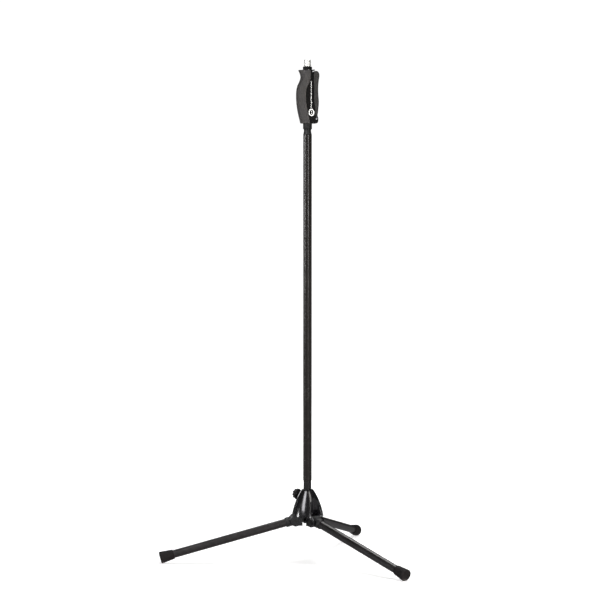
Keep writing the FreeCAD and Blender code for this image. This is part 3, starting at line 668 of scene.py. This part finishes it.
def cap_profile():
    """The foot cap's section along the leg, from its bore over the mouth to the end."""
    start, end = LEG_LENGTH - CAP_LENGTH, LEG_LENGTH
    profile = [
        (CAP_BORE, start + CAP_BORE_DEPTH), (CAP_BORE, start + 0.5), (CAP_BORE + 0.3, start),
        (CAP_MOUTH - 0.7, start), (CAP_MOUTH - 0.2, start + 0.25), (CAP_MOUTH, start + CAP_LIP),
    ]
    for i in range(1, CAP_STEPS):
        along = CAP_LIP + (CAP_LENGTH - CAP_LIP - 3.0) * i / CAP_STEPS
        profile.append((CAP_MOUTH + (CAP_END - CAP_MOUTH) * along / CAP_LENGTH, start + along))
    flat = CAP_END - 0.1 - CAP_RIM
    for i in range(9):
        angle = math.pi / 2 * i / 8
        profile.append((flat + CAP_RIM * math.cos(angle), end - CAP_RIM + CAP_RIM * math.sin(angle)))
    profile += [(flat - 2.0, end), (4.0, end), (0, end)]
    return profile


def make_feet(paint):
    """The three caps. What would go below the floor is flattened onto it."""
    points, faces = lathe(cap_profile(), CAP_SEGMENTS)
    faces.append(tuple(range(CAP_SEGMENTS)))
    for number, bearing in enumerate(LEG_BEARINGS, 1):
        turn = Matrix.Rotation(math.radians(bearing), 4, "Z") @ Matrix.Translation((PIVOT_R, 0, PIVOT_Z))
        turn = turn @ Matrix.Rotation(math.pi / 2 + LEG_SLOPE, 4, "Y")
        placed = [turn @ Vector(p) for p in points]
        placed = [(p.x, p.y, max(0.0, p.z)) for p in placed]
        stands_for = [f"foot_cap_{number}"]
        piece(f"rubber_foot_{number}", placed, faces, f"leg_{number}", paint, stands_for)


# ---- printed marks ------------------------------------------------------------------------
PRINT_FACE, PRINT_BACK = -HOUSING_HALF - 0.05, -HOUSING_HALF + 0.1
MARK_X, MARK_Z = 7.3, 987.6
MARK_OUTER, MARK_INNER = (6.0, 7.9), (4.1, 6.0)     # half widths of the oval ring in x and z
ARROW_TIP, ARROW_BASE, ARROW_HALF = 4.0, 1.2, 1.6
TICKS, TICK_X, TICK_LOW, TICK_HIGH = 41, 6.7, 995.2, 1056.0
TICK_LONG, TICK_SHORT, TICK_THICK = 1.15, 0.8, 0.38     # half sizes


def slab(points, faces, outline):
    """Adds a thin raised shape on the housing's front from an (x, z) outline."""
    first = len(points)
    count = len(outline)
    points += [(x, PRINT_FACE, z) for x, z in outline] + [(x, PRINT_BACK, z) for x, z in outline]
    faces.append(tuple(range(first, first + count)))
    faces.append(tuple(range(first + 2 * count - 1, first + count - 1, -1)))
    for i in range(count):
        j = (i + 1) % count
        faces.append((first + i, first + j, first + count + j, first + count + i))


def oval_band(points, faces, outer, inner, segments):
    """Adds the mark's thin raised oval ring. outer and inner are half widths in x and z."""
    first = len(points)
    for half_x, half_z in (outer, inner):
        for depth in (PRINT_FACE, PRINT_BACK):
            for i in range(segments):
                angle = TURN * i / segments
                points.append((MARK_X + half_x * math.cos(angle), depth, MARK_Z + half_z * math.sin(angle)))
    loops = [list(range(first + k * segments, first + (k + 1) * segments)) for k in range(4)]
    for a, b in ((0, 1), (1, 3), (3, 2), (2, 0)):
        faces += bridge(loops[a], loops[b])


def make_prints(paint):
    """A plain tick scale and a generic up-and-down mark, in white ink."""
    points, faces = [], []
    for i in range(TICKS):
        z = TICK_LOW + (TICK_HIGH - TICK_LOW) * i / (TICKS - 1)
        half = TICK_LONG if i % 5 == 0 else TICK_SHORT
        corners = ((-1, -1), (1, -1), (1, 1), (-1, 1))
        slab(points, faces, [(TICK_X + half * a, z + TICK_THICK * b) for a, b in corners])
    for side in (-1, 1):
        tip, base = MARK_Z + side * ARROW_TIP, MARK_Z + side * ARROW_BASE
        slab(points, faces, [(MARK_X - ARROW_HALF, base), (MARK_X + ARROW_HALF, base), (MARK_X, tip)])
    oval_band(points, faces, MARK_OUTER, MARK_INNER, 48)
    piece("printed_scale", points, faces, "column", paint)


# ---- CAD nodes ----------------------------------------------------------------------------
SOFT_EDGES = {
    "base_casting": 0.5, "housing_front": 0.45, "housing_rear": 0.45, "lever": 0.35, "column_collar": 0.3,
    "leg_root_1": 0.5, "leg_root_2": 0.5, "leg_root_3": 0.5,
}


def dress_nodes(paints):
    """Gives each carried-over CAD node the finish of its record slot, and the mouldings rounded edges."""
    slots = {row["node"]: row["material_slot"] for row in frame["record"]["subparts"]}
    for name, node in NODES.items():
        for holder in node.material_slots:
            holder.material = paints[slots[name]]
        if name in SOFT_EDGES:
            weld = node.modifiers.new("weld", "WELD")
            weld.merge_threshold = 2e-6
            bevel = node.modifiers.new("bevel", "BEVEL")
            bevel.width = SOFT_EDGES[name] * MM
            bevel.segments = 3
            bevel.limit_method = "ANGLE"
            bevel.angle_limit = math.radians(35)
            bevel.harden_normals = True


make_camera()
make_light()
make_world()
make_floor()
SCENE.view_settings.view_transform = "Standard"
paints = make_materials()
dress_nodes(paints)
make_palm(paints["palm_soft_touch"])
make_stud(paints["thread_chrome"])
make_ring(paints["ring_black"])
make_lever_spring(paints["spring_steel"])
make_knob(paints["knob_plastic"])
make_feet(paints["foot_rubber"])
make_prints(paints["print_white"])
